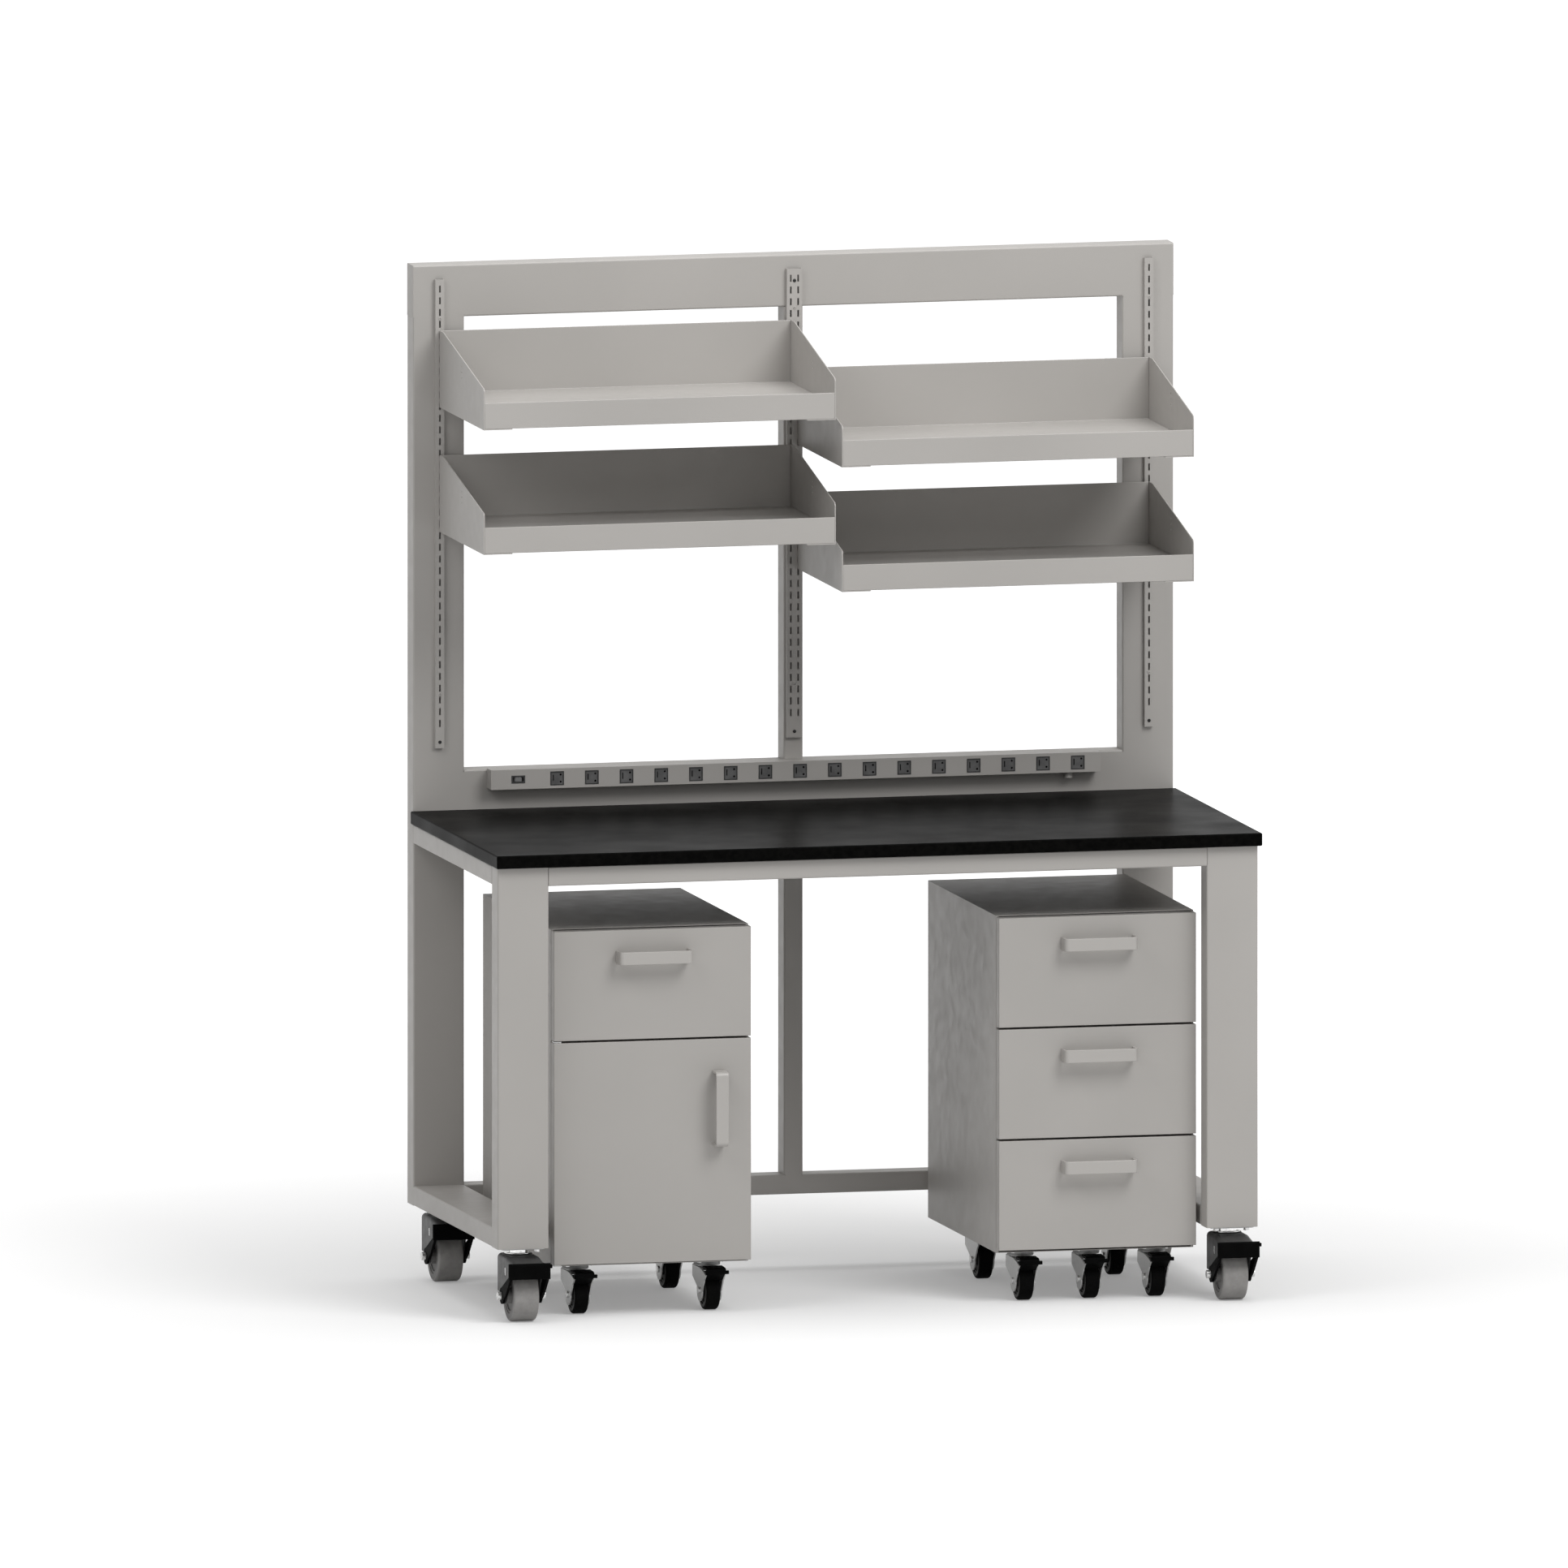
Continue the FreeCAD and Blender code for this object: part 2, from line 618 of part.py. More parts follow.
def pedal():
    """The total-lock pedal: a bar across the front on two arms that turn on the axle bolt."""
    arm_inner = bench_fork_half + run_gap
    arm_outer = arm_inner + pedal_arm
    y, z = -bench_trail, bench_wheel_radius
    back = -(bench_hood_reach + 1.5)
    bar = box(-pedal_half, pedal_half, -pedal_reach, back, pedal_low, pedal_high)
    fronts = [e for e in bar.Edges if max(v.Y for v in e.Vertexes) < -pedal_reach + 0.1]
    bar = bar.makeFillet(min(pedal_corner, (pedal_reach + back) * 0.8), fronts)
    bar = bar.cut(box(-arm_inner, arm_inner, -pedal_reach + pedal_sheet, back,
                      pedal_low + pedal_sheet, pedal_high - pedal_sheet))
    outline = [(back - pedal_sheet, pedal_low), (back - pedal_sheet, pedal_high - pedal_corner),
               (back + pedal_sheet, pedal_high - pedal_corner), (back + 2 * pedal_sheet, pedal_low + 5),
               (y, z + pedal_ring), (y, z - pedal_ring), (pedal_toe_y, pedal_toe_z)]
    whole = bar
    for x0, x1 in ((-arm_outer, -arm_inner), (arm_inner, arm_outer)):
        arm = side_profile(outline, x0, x1).fuse(cylinder(pedal_ring, x0, y, z, X, x1 - x0))
        whole = whole.fuse(arm)
    ear = box(pedal_half - 1, pedal_half + pedal_ear, back - pedal_sheet, back + pedal_sheet,
              pedal_high - pedal_ear - 6, pedal_high - 3)
    whole = whole.fuse(ear.makeFillet(pedal_ear * 0.3, edges_along(ear, Y)))
    bore = cylinder(bench_axle_radius + shaft_gap, -arm_outer, y, z, X, 2 * arm_outer)
    return whole.cut(bore).removeSplitter()


def brake_lever():
    """A moulded brake: a cap above the fork's nose and a shoe before the wheel, on a pin in the fork."""
    inner = small_fork_half - small_leg_thickness - run_gap
    front, rear, t = -brake_reach, -brake_rear, brake_sheet
    top, low = brake_high, brake_low
    cap = side_profile([(rear, top), (front + 8, top - 1), (front + 2, top - 3), (front, top - 6),
                        (front, low), (front + t, low), (front + t, top - 8), (front + 9, top - 1 - t), (rear, top - t)],
                       -brake_half, brake_half)
    shoe = side_profile([(front + 1, top - 7), (front + 1, low), (brake_shoe_y, brake_shoe_z),
                         (brake_pivot_y + 2, brake_shoe_z - 6), (brake_pivot_y + 4, brake_pivot_z - 3),
                         (brake_pivot_y - 2, brake_pivot_z + brake_hub_radius),
                         (front + 10, top - 1 - t / 2)],
                        -inner, inner)
    hub = cylinder(brake_hub_radius, -inner, brake_pivot_y, brake_pivot_z, X, 2 * inner)
    ears = []
    for x0, x1 in ((brake_half - 1, brake_half + brake_ear), (-brake_half - brake_ear / 3, -brake_half + 1)):
        ear = box(x0, x1, front + 1, front + 1 + t, top - 13, top - 6)
        ears.append(ear.makeFillet(brake_ear * 0.15, edges_along(ear, Y)))
    whole = cap.fuse([shoe, hub] + ears)
    bore = cylinder(brake_pin_radius + shaft_gap, -inner, brake_pivot_y, brake_pivot_z, X, 2 * inner)
    whole = whole.cut(bore)
    for step in range(5):
        room = cylinder(small_wheel_radius + 4 * run_gap, -2 * brake_half, -small_trail, small_wheel_radius,
                        X, 4 * brake_half)
        room.rotate(V(0, brake_pivot_y, brake_pivot_z), X, -brake_travel * step / 4)
        whole = whole.cut(room)
    return whole.removeSplitter()


def moved(shapes, x, y):
    out = []
    for shape in shapes:
        copy = shape.copy()
        copy.translate(V(x, y, 0))
        out.append(copy)
    return out


def build_bench_casters():
    crown_top = bench_caster_height - bench_plate_thickness - bench_race_height
    crown_thickness = bench_crown_rise + bench_leg_thickness
    plate = caster_plate(bench_caster_height, bench_plate_length, bench_plate_width, bench_plate_thickness,
                         bench_bolt_length, bench_bolt_width, bench_nut_radius, bench_nut_height,
                         bench_race_radius, bench_race_height, crown_thickness)
    fork = caster_fork(crown_top, bench_crown_rise, bench_crown_radius, bench_race_radius * 0.25,
                       bench_fork_half, bench_leg_thickness, bench_bend, bench_leg_rear, bench_leg_low,
                       bench_leg_corner_y, bench_leg_corner_z, bench_waist_y, bench_waist_z,
                       bench_hood_from, bench_hood_reach, bench_hood_drop, bench_trail,
                       bench_wheel_radius, bench_boss_radius)
    for side in (-bench_fork_half, bench_fork_half - bench_leg_thickness):
        fork = fork.cut(box(side, side + bench_leg_thickness, bench_slot_y, bench_slot_y + bench_slot_width,
                            bench_slot_low, bench_slot_low + bench_slot_length))
    reach = bench_fork_half + pedal_arm + 2 * run_gap
    bolt = axle_bolt(bench_axle_radius, reach, bench_head_radius, bench_head_length, -bench_trail,
                     bench_wheel_radius)
    fork = fork.cut(cylinder(bench_axle_radius, -reach, -bench_trail, bench_wheel_radius, X, 2 * reach))
    wheel = caster_wheel(bench_wheel_radius, bench_wheel_width, bench_wheel_edge, bench_trail,
                         bench_axle_radius, bench_fork_half - bench_leg_thickness - run_gap)
    lever = pedal()
    for end, y in (("front", leg_front + front_kingpin_inset), ("rear", frame_rear - rear_kingpin_inset)):
        for side, x in (("left", kingpin_offset - leg_centre), ("right", kingpin_offset + leg_centre)):
            name = "bench_" + end + "_" + side
            add("bench_caster_plates", moved(plate, x, y))
            add(name + "_fork", moved([fork, bolt], x, y))
            add(name + "_wheel", moved(wheel, x, y))
            add(name + "_pedal", moved([lever], x, y))


def build_pedestal_casters(name, centre, middle_wheel):
    crown_top = small_caster_height - small_plate_thickness - small_race_height
    crown_thickness = small_crown_rise + small_leg_thickness
    plate = caster_plate(small_caster_height, small_plate_length, small_plate_width, small_plate_thickness,
                         small_bolt_length, small_bolt_width, small_nut_radius, small_nut_height,
                         small_race_radius, small_race_height, crown_thickness)
    plain = caster_fork(crown_top, small_crown_rise, small_crown_radius, small_race_radius * 0.25,
                        small_fork_half, small_leg_thickness, small_bend, small_leg_rear, small_leg_low,
                        small_leg_corner_y, small_leg_corner_z, small_waist_y, small_waist_z,
                        small_hood_from, small_hood_reach, small_hood_drop, small_trail,
                        small_wheel_radius, small_boss_radius)
    bolt = axle_bolt(small_axle_radius, small_fork_half, small_head_radius, small_head_length, -small_trail,
                     small_wheel_radius)
    plain = plain.cut(cylinder(small_axle_radius, -small_fork_half, -small_trail, small_wheel_radius, X,
                               2 * small_fork_half))
    braked = plain.cut(cylinder(brake_pin_radius, -small_fork_half, brake_pivot_y, brake_pivot_z, X,
                                2 * small_fork_half))
    pin = cylinder(brake_pin_radius, -small_fork_half, brake_pivot_y, brake_pivot_z, X, 2 * small_fork_half)
    wheel = caster_wheel(small_wheel_radius, small_wheel_width, small_wheel_edge, small_trail,
                         small_axle_radius, small_fork_half - small_leg_thickness - run_gap)
    lever = brake_lever()
    spread = pedestal_width / 2 - caster_inset_x
    places = [("front_left", centre - spread, True), ("front_right", centre + spread, True),
              ("rear_left", centre - spread, False), ("rear_right", centre + spread, False)]
    if middle_wheel:
        places.append(("front_middle", centre, True))
    for place, x, is_front in places:
        y = carcass_front + caster_inset_front if is_front else carcass_rear - caster_inset_rear
        node = name + "_" + place
        add(name + "_fittings", moved(plate, x, y))
        add(node + "_fork", moved([braked, bolt, pin] if is_front else [plain, bolt], x, y))
        add(node + "_wheel", moved(wheel, x, y))
        if is_front:
            add(node + "_brake", moved([lever], x, y))


# ---- pedestals ----
panel_face = leg_front + pedestal_set_back       # front faces of drawers and door
panel_rear = panel_face + front_thickness
carcass_front = panel_rear + front_bumper
carcass_rear = carcass_front + pedestal_depth
pedestal_low = small_caster_height
panel_half = pedestal_width / 2 - front_side_margin
inner_half = pedestal_width / 2 - panel_sheet
box_half = inner_half - runner_fixed - runner_slack - runner_moving
top_panel_high = pedestal_top - front_top_margin
drawer_front_height = (top_panel_high - pedestal_low - drawer_bottom_margin - 2 * front_gap) / 3
drawer_height = drawer_front_height - drawer_rise - drawer_headroom
top_panel_low = top_panel_high - drawer_front_height
low_panel_low = pedestal_low + door_bottom_margin


def pan_panel(centre, low, high):
    """A panel folded like a shallow pan, open at the back, and the inner skin that closes it."""
    outer = box(centre - panel_half, centre + panel_half, panel_face, panel_rear, low, high)
    edges = [e for e in outer.Edges if max(v.Y for v in e.Vertexes) < panel_face + 0.1]
    outer = outer.makeFillet(panel_edge, edges)
    t = panel_sheet
    x0, x1 = centre - panel_half + t, centre + panel_half - t
    hollow = box(x0, x1, panel_face + t, panel_rear, low + t, high - t)
    skin = box(x0, x1, panel_rear - t, panel_rear, low + t, high - t)
    return [outer.cut(hollow), skin]


def bow_handle(x, z, upright):
    """A flat strip bent into a bow, standing on two feet; drawn along X, then turned if upright."""
    half, rise, t = handle_length / 2, handle_height, handle_thickness
    bow = box(-half, half, -rise, 0, -handle_width / 2, handle_width / 2)
    bow = bow.makeFillet(handle_bend, [e for e in edges_along(bow, Z) if e.Vertexes[0].Y < -1])
    inner = box(-half + t, half - t, -rise + t, 0, -handle_width / 2, handle_width / 2)
    inner_bend = max(handle_bend - t, 0.5)
    inner = inner.makeFillet(inner_bend, [e for e in edges_along(inner, Z) if e.Vertexes[0].Y < -1])
    bow = bow.cut(inner)
    if upright:
        bow.rotate(V(0, 0, 0), Y, 90)
    bow.translate(V(x, panel_face, z))
    return bow


def runner_bar(centre, side, near, far, low, high, front, rear):
    x0, x1 = sorted((centre + side * near, centre + side * far))
    return box(x0, x1, front, rear, low, high)


def build_drawer(node, fittings, centre, low):
    """A drawer box behind its front, its moving rails, and the fixed rails in the pedestal."""
    add(node, pan_panel(centre, low, low + drawer_front_height))
    floor = low + drawer_rise
    rear = panel_rear + drawer_length
    t = panel_sheet
    outer = box(centre - box_half, centre + box_half, panel_rear, rear, floor, floor + drawer_height)
    inside = box(centre - box_half + t, centre + box_half - t, panel_rear + t, rear - t,
                 floor + t, floor + drawer_height)
    add(node, [outer.cut(inside)])
    rail_low = floor + drawer_height / 2 - runner_height / 2
    rail_high = rail_low + runner_height
    moving_far = box_half + runner_moving
    start = carcass_front + 2 * panel_sheet
    for side in (-1, 1):
        add(node, [runner_bar(centre, side, box_half, moving_far, rail_low + 3, rail_high - 3,
                              panel_rear, panel_rear + runner_length)])
        add(fittings, [runner_bar(centre, side, moving_far + runner_slack, inner_half, rail_low, rail_high,
                                  start, start + runner_length)])
    add(node + "_handle", [bow_handle(centre, low + drawer_front_height - handle_from_top, False)])


def build_carcass(node, centre, divider):
    t = panel_sheet
    half = pedestal_width / 2
    shell = box(centre - half, centre + half, carcass_front, carcass_rear, pedestal_low, pedestal_top)
    room = box(centre - half + t, centre + half - t, carcass_front, carcass_rear - t,
               pedestal_low + t, pedestal_top - t)
    shell = shell.cut(room)
    for side in (-1, 1):
        x0, x1 = sorted((centre + side * (half - carcass_return), centre + side * inner_half))
        shell = shell.fuse(box(x0, x1, carcass_front, carcass_front + t, pedestal_low + t, pedestal_top - t))
    if divider:
        level = top_panel_low - front_gap / 2
        shell = shell.fuse(box(centre - inner_half, centre + inner_half, carcass_front + t, carcass_rear - t,
                               level - t, level))
    add(node, [shell.removeSplitter()])


def build_door(centre):
    """The cupboard door turns on two pins, held by small plates on the carcass."""
    low, high = low_panel_low, top_panel_low - front_gap
    axis_x = centre - panel_half + door_axis_side
    axis_y = panel_face + door_axis_front
    pan, skin = pan_panel(centre, low, high)
    hole = cylinder(hinge_pin_radius + shaft_gap, axis_x, axis_y, low, Z, high - low)
    bush_radius = min(door_axis_side, door_axis_front) - panel_sheet / 3
    ends = ((low, low - run_gap - hinge_plate_thickness), (high - hinge_pin_length, high + run_gap))
    for inside, plate_low in ends:
        bush = cylinder(bush_radius, axis_x, axis_y, inside, Z, hinge_pin_length)
        pan = pan.fuse(bush)
        pin_low = min(inside, plate_low)
        pin_high = max(inside + hinge_pin_length, plate_low + hinge_plate_thickness)
        pin = cylinder(hinge_pin_radius, axis_x, axis_y, pin_low, Z, pin_high - pin_low)
        plate = box(axis_x - hinge_plate_width / 3, axis_x + hinge_plate_width * 2 / 3,
                    axis_y - hinge_pin_radius, carcass_front, plate_low, plate_low + hinge_plate_thickness)
        add("left_pedestal_fittings", [plate.fuse(pin).removeSplitter()])
    add("left_pedestal_door", [pan.cut(hole).removeSplitter(), skin])
    handle_x = centre + panel_half - handle_from_edge
    handle_z = high - door_handle_drop - handle_length / 2
    add("left_pedestal_door_handle", [bow_handle(handle_x, handle_z, True)])


def build_pedestals():
    build_carcass("left_pedestal_carcass", left_pedestal_x, True)
    build_drawer("left_pedestal_drawer", "left_pedestal_fittings", left_pedestal_x, top_panel_low)
    build_door(left_pedestal_x)
    build_pedestal_casters("left_pedestal", left_pedestal_x, False)
    build_carcass("right_pedestal_carcass", right_pedestal_x, False)
    step = drawer_front_height + front_gap
    for index, place in enumerate(("top", "middle", "bottom")):
        build_drawer("right_pedestal_" + place + "_drawer", "right_pedestal_fittings", right_pedestal_x,
                     top_panel_low - index * step)
    build_pedestal_casters("right_pedestal", right_pedestal_x, True)


build_worktop()
build_frame()
build_standards()
build_trays()
build_strip()
build_switch()
build_bench_casters()
build_pedestals()

for node in sorted(parts):
    solids = [solid for shape in parts[node] for solid in shape.Solids]
    whole = solids[0] if len(solids) == 1 else Part.makeCompound(solids)
    whole.exportStep("parts/" + node + ".step")
print(len(parts), "nodes,", sum(len(s.Solids) for shapes in parts.values() for s in shapes), "solids")
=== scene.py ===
import bmesh
import bpy
import json
import math
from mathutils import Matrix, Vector


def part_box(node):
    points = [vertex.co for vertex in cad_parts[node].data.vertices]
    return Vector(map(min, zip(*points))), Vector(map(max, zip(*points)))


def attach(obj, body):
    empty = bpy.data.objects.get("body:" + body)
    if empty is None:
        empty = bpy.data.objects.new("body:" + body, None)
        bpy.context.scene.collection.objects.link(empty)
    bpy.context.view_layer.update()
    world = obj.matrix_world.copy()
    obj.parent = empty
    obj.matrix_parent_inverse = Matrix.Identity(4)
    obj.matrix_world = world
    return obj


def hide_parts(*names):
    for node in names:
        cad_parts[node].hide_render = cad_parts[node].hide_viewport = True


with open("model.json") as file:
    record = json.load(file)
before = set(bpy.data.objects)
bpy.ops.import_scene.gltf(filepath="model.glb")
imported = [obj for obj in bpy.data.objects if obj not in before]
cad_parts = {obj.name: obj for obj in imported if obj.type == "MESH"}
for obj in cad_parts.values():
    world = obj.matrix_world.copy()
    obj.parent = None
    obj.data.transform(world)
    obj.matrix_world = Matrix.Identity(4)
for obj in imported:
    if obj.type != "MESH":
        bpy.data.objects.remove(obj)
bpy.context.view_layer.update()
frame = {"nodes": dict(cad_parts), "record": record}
nodes = frame["nodes"]
bodies = frame["record"]["behaviour"]["bodies"]
bodyOf = {node: body for body, names in bodies.items() for node in names}
slotOf = {row["node"]: row["material_slot"] for row in frame["record"]["subparts"]}

scene = bpy.context.scene
scene.view_settings.view_transform = "Standard"


# small helpers for materials
def startMaterial(name, metallic=0.0, shine=0.5):
    material = bpy.data.materials.new(name)
    material.use_nodes = True
    shader = material.node_tree.nodes["Principled BSDF"]
    shader.inputs["Metallic"].default_value = metallic
    shader.inputs["Specular IOR Level"].default_value = shine
    return material, material.node_tree, shader


def addNoise(tree, scale, detail=3.0, stretch=(1.0, 1.0, 1.0), rough=0.5):
    place = tree.nodes.new("ShaderNodeTexCoord")
    mapping = tree.nodes.new("ShaderNodeMapping")
    mapping.inputs["Scale"].default_value = stretch
    noise = tree.nodes.new("ShaderNodeTexNoise")
    noise.inputs["Scale"].default_value = scale
    noise.inputs["Detail"].default_value = detail
    noise.inputs["Roughness"].default_value = rough
    tree.links.new(place.outputs["Object"], mapping.inputs["Vector"])
    tree.links.new(mapping.outputs["Vector"], noise.inputs["Vector"])
    return noise


# the colour goes from dark to light where the pattern passes through the spread
def tintBy(tree, shader, source, dark, light, spread=(0.35, 0.65)):
    ramp = tree.nodes.new("ShaderNodeValToRGB")
    for stop, position, tone in zip(ramp.color_ramp.elements, spread, (dark, light)):
        stop.position = position
        stop.color = (*tone, 1)
    tree.links.new(source.outputs[0], ramp.inputs["Fac"])
    tree.links.new(ramp.outputs["Color"], shader.inputs["Base Color"])


def roughBy(tree, shader, source, roughness):
    spread = tree.nodes.new("ShaderNodeMapRange")
    spread.inputs["From Min"].default_value = 0.3
    spread.inputs["From Max"].default_value = 0.7
    spread.inputs["To Min"].default_value = roughness[0]
    spread.inputs["To Max"].default_value = roughness[1]
    tree.links.new(source.outputs[0], spread.inputs["Value"])
    tree.links.new(spread.outputs["Result"], shader.inputs["Roughness"])


def bumpBy(tree, shader, source, depth, strength, before=None):
    bump = tree.nodes.new("ShaderNodeBump")
    bump.inputs["Distance"].default_value = depth
    bump.inputs["Strength"].default_value = strength
    tree.links.new(source.outputs[0], bump.inputs["Height"])
    if before:
        tree.links.new(before.outputs["Normal"], bump.inputs["Normal"])
    tree.links.new(bump.outputs["Normal"], shader.inputs["Normal"])
    return bump


# satin powder coat: a slow drift of tone, and the orange peel of a baked coat
powderCoat = {"dark": (0.385, 0.370, 0.351), "light": (0.425, 0.408, 0.388), "spread": (0.3, 0.7),
              "roughness": (0.42, 0.52), "handleLift": 1.06, "handleRoughness": (0.30, 0.36),
              "drift": 2.2, "cloud": 38.0, "peel": 620.0, "peelDepth": 0.00016,
              "ripple": 150.0, "rippleDepth": 0.0003}


def makePowderCoat(name, lift=1.0, roughness=powderCoat["roughness"]):
    material, tree, shader = startMaterial(name)
    drift = addNoise(tree, powderCoat["drift"], detail=2.0)
    dark = [tone * lift for tone in powderCoat["dark"]]
    light = [tone * lift for tone in powderCoat["light"]]
    tintBy(tree, shader, drift, dark, light, powderCoat["spread"])
    roughBy(tree, shader, addNoise(tree, powderCoat["cloud"]), roughness)
    peel = addNoise(tree, powderCoat["peel"], detail=2.0)
    peelBump = bumpBy(tree, shader, peel, powderCoat["peelDepth"], strength=0.35)
    ripple = addNoise(tree, powderCoat["ripple"], detail=1.0)
    bumpBy(tree, shader, ripple, powderCoat["rippleDepth"], strength=0.12, before=peelBump)
    return material


# cast resin worktop, nearly black and dull
resinTop = {"dark": (0.0014, 0.0014, 0.0013), "light": (0.0034, 0.0033, 0.0030), "spread": (0.4, 0.62),
            "roughness": (0.30, 0.40), "shine": 0.014, "mottle": 90.0, "cloud": 7.0,
            "grain": 900.0, "grainDepth": 0.00012}


def makeResinTop():
    material, tree, shader = startMaterial("worktopResin", shine=resinTop["shine"])
    mottle = addNoise(tree, resinTop["mottle"], detail=5.0, rough=0.65)
    tintBy(tree, shader, mottle, resinTop["dark"], resinTop["light"], resinTop["spread"])
    roughBy(tree, shader, addNoise(tree, resinTop["cloud"]), resinTop["roughness"])
    grain = addNoise(tree, resinTop["grain"], detail=2.0)
    bumpBy(tree, shader, grain, resinTop["grainDepth"], strength=0.3)
    return material


# zinc plate and bright steel: spangled tone, fine drawn grain
zincPlate = {"darkShare": 0.86, "blueShare": 0.98, "spread": (0.38, 0.6), "spangle": 120.0,
             "grain": 500.0, "grainStretch": (1.0, 1.0, 6.0), "grainDepth": 0.0001}


def makeZinc(name, tone, metallic, roughness):
    material, tree, shader = startMaterial(name, metallic)
    spangle = addNoise(tree, zincPlate["spangle"], detail=4.0, rough=0.6)
    dark = [tone * zincPlate["darkShare"]] * 3
    light = [tone, tone, tone * zincPlate["blueShare"]]
    tintBy(tree, shader, spangle, dark, light, zincPlate["spread"])
    roughBy(tree, shader, spangle, roughness)
    grain = addNoise(tree, zincPlate["grain"], stretch=zincPlate["grainStretch"])
    bumpBy(tree, shader, grain, zincPlate["grainDepth"], strength=0.3)
    return material


# dipped dark coat of the bench forks
forkCoat = {"dark": (0.034, 0.034, 0.034), "light": (0.050, 0.050, 0.049), "roughness": (0.36, 0.5),
            "shine": 0.4, "cloud": 60.0, "grain": 700.0, "grainDepth": 0.0001}


def makeForkCoat():
    material, tree, shader = startMaterial("forkDipCoat", shine=forkCoat["shine"])
    cloud = addNoise(tree, forkCoat["cloud"], detail=4.0)
    tintBy(tree, shader, cloud, forkCoat["dark"], forkCoat["light"])
    roughBy(tree, shader, cloud, forkCoat["roughness"])
    grain = addNoise(tree, forkCoat["grain"], detail=2.0)
    bumpBy(tree, shader, grain, forkCoat["grainDepth"], strength=0.3)
    return material


# moulded plastic with a spark-eroded texture
plastic = {"darkShare": 0.8, "lightShare": 1.2, "cloud": 45.0, "spark": 1400.0, "sparkDepth": 0.00012}


def makePlastic(name, tone, roughness, shine=0.35):
    material, tree, shader = startMaterial(name, shine=shine)
    cloud = addNoise(tree, plastic["cloud"])
    tintBy(tree, shader, cloud, [tone * plastic["darkShare"]] * 3, [tone * plastic["lightShare"]] * 3)
    roughBy(tree, shader, cloud, roughness)
    spark = addNoise(tree, plastic["spark"], detail=2.0)
    bumpBy(tree, shader, spark, plastic["sparkDepth"], strength=0.4)
    return material


# tyres and wheel cores
tyre = {"spread": (0.35, 0.68), "roughness": (0.52, 0.72), "cloud": 55.0,
        "grain": 1100.0, "grainStretch": (0.3, 1.0, 1.0), "grainDepth": 0.00014}


def makeTyre(name, dark, light, shine=0.3):
    material, tree, shader = startMaterial(name, shine=shine)
    cloud = addNoise(tree, tyre["cloud"], detail=5.0, rough=0.6)
    tintBy(tree, shader, cloud, dark, light, tyre["spread"])
    roughBy(tree, shader, cloud, tyre["roughness"])
    grain = addNoise(tree, tyre["grain"], detail=2.0, stretch=tyre["grainStretch"])
    bumpBy(tree, shader, grain, tyre["grainDepth"], strength=0.35)
    return material


finish = {
    "powder_grey": makePowderCoat("powderGrey"),
    "handle_grey": makePowderCoat("handleCoat", powderCoat["handleLift"], powderCoat["handleRoughness"]),
    "worktop_black": makeResinTop(),
    "zinc": makeZinc("zincPlate", 0.5, 0.75, (0.30, 0.46)),
    "dark_steel": makeForkCoat(),
    "brake_black": makePlastic("leverPlastic", 0.003, (0.45, 0.58), 0.015),
    "tyre_grey": makeTyre("greyTyre", (0.27, 0.262, 0.255), (0.34, 0.33, 0.32)),
    "tyre_black": makeTyre("blackTyre", (0.0028, 0.0028, 0.0028), (0.0050, 0.0050, 0.0048), 0.02),
    "outlet_grey": makePlastic("outletPlastic", 0.11, (0.45, 0.6)),
    "switch_black": makePlastic("switchPlastic", 0.09, (0.35, 0.45)),
}
trim = {
    "bolt": makeZinc("boltPlate", 0.80, 0.9, (0.22, 0.34)),
    "race": makeZinc("raceSteel", 0.95, 1.0, (0.08, 0.14)),
    "washer": makeZinc("washerSteel", 0.95, 1.0, (0.10, 0.16)),
    "cup": makeZinc("cupZinc", 0.36, 0.35, (0.38, 0.52)),
    # near black: painted shade of the screw holes, given to the end screws
    "screwHoleShade": makePlastic("screwHolePaintedShade", 0.02, (0.4, 0.5), 0.3),
    "core": makeTyre("wheelCore", (0.20, 0.195, 0.19), (0.24, 0.235, 0.23)),
    "smallCore": makeTyre("smallWheelCore", (0.045, 0.045, 0.044), (0.065, 0.064, 0.062)),
    "outletRim": makePlastic("outletRim", 0.040, (0.45, 0.6)),
    # near black: painted shade inside the outlets' contact slots
    "contactHoleShade": makePlastic("contactHolePaintedShade", 0.006, (0.5, 0.6), 0.2),
    "rocker": makePlastic("rockerPlastic", 0.19, (0.5, 0.6), 0.2),
}
for node, piece in nodes.items():
    piece.data.materials.clear()
    piece.data.materials.append(finish[slotOf[node]])
print("finishes made:", len(finish), "and", len(trim), "for trim")


# pieces made from the frame's own solids, with their sharp edges eased
easing = {"worktop": 0.0008, "shelf_trays": 0.0009, "shelf_brackets": 0.0009, "power_strip": 0.0006,
          "power_outlets": 0.0003, "slotted_standards": 0.0003, "frame_uprights": 0.0004,
          "rear_rails": 0.0004, "bench_rails": 0.0004, "power_rocker": 0.0003,
          "bench_caster_plates": 0.0005}
easingByKind = {"_carcass": 0.0005, "_drawer": 0.0005, "_door": 0.0005,      # thin sheet
                "_handle": 0.0009, "_fork": 0.0006, "_pedal": 0.0006, "_brake": 0.0006,
                "_wheel": 0.0004, "_fittings": 0.0004}
for node in nodes:
    for kind, width in easingByKind.items():
        if node.endswith(kind):
            easing[node] = width
easedEdge = {"merge": 0.000002, "flat": math.radians(0.4), "sharp": math.radians(32), "segments": 2}


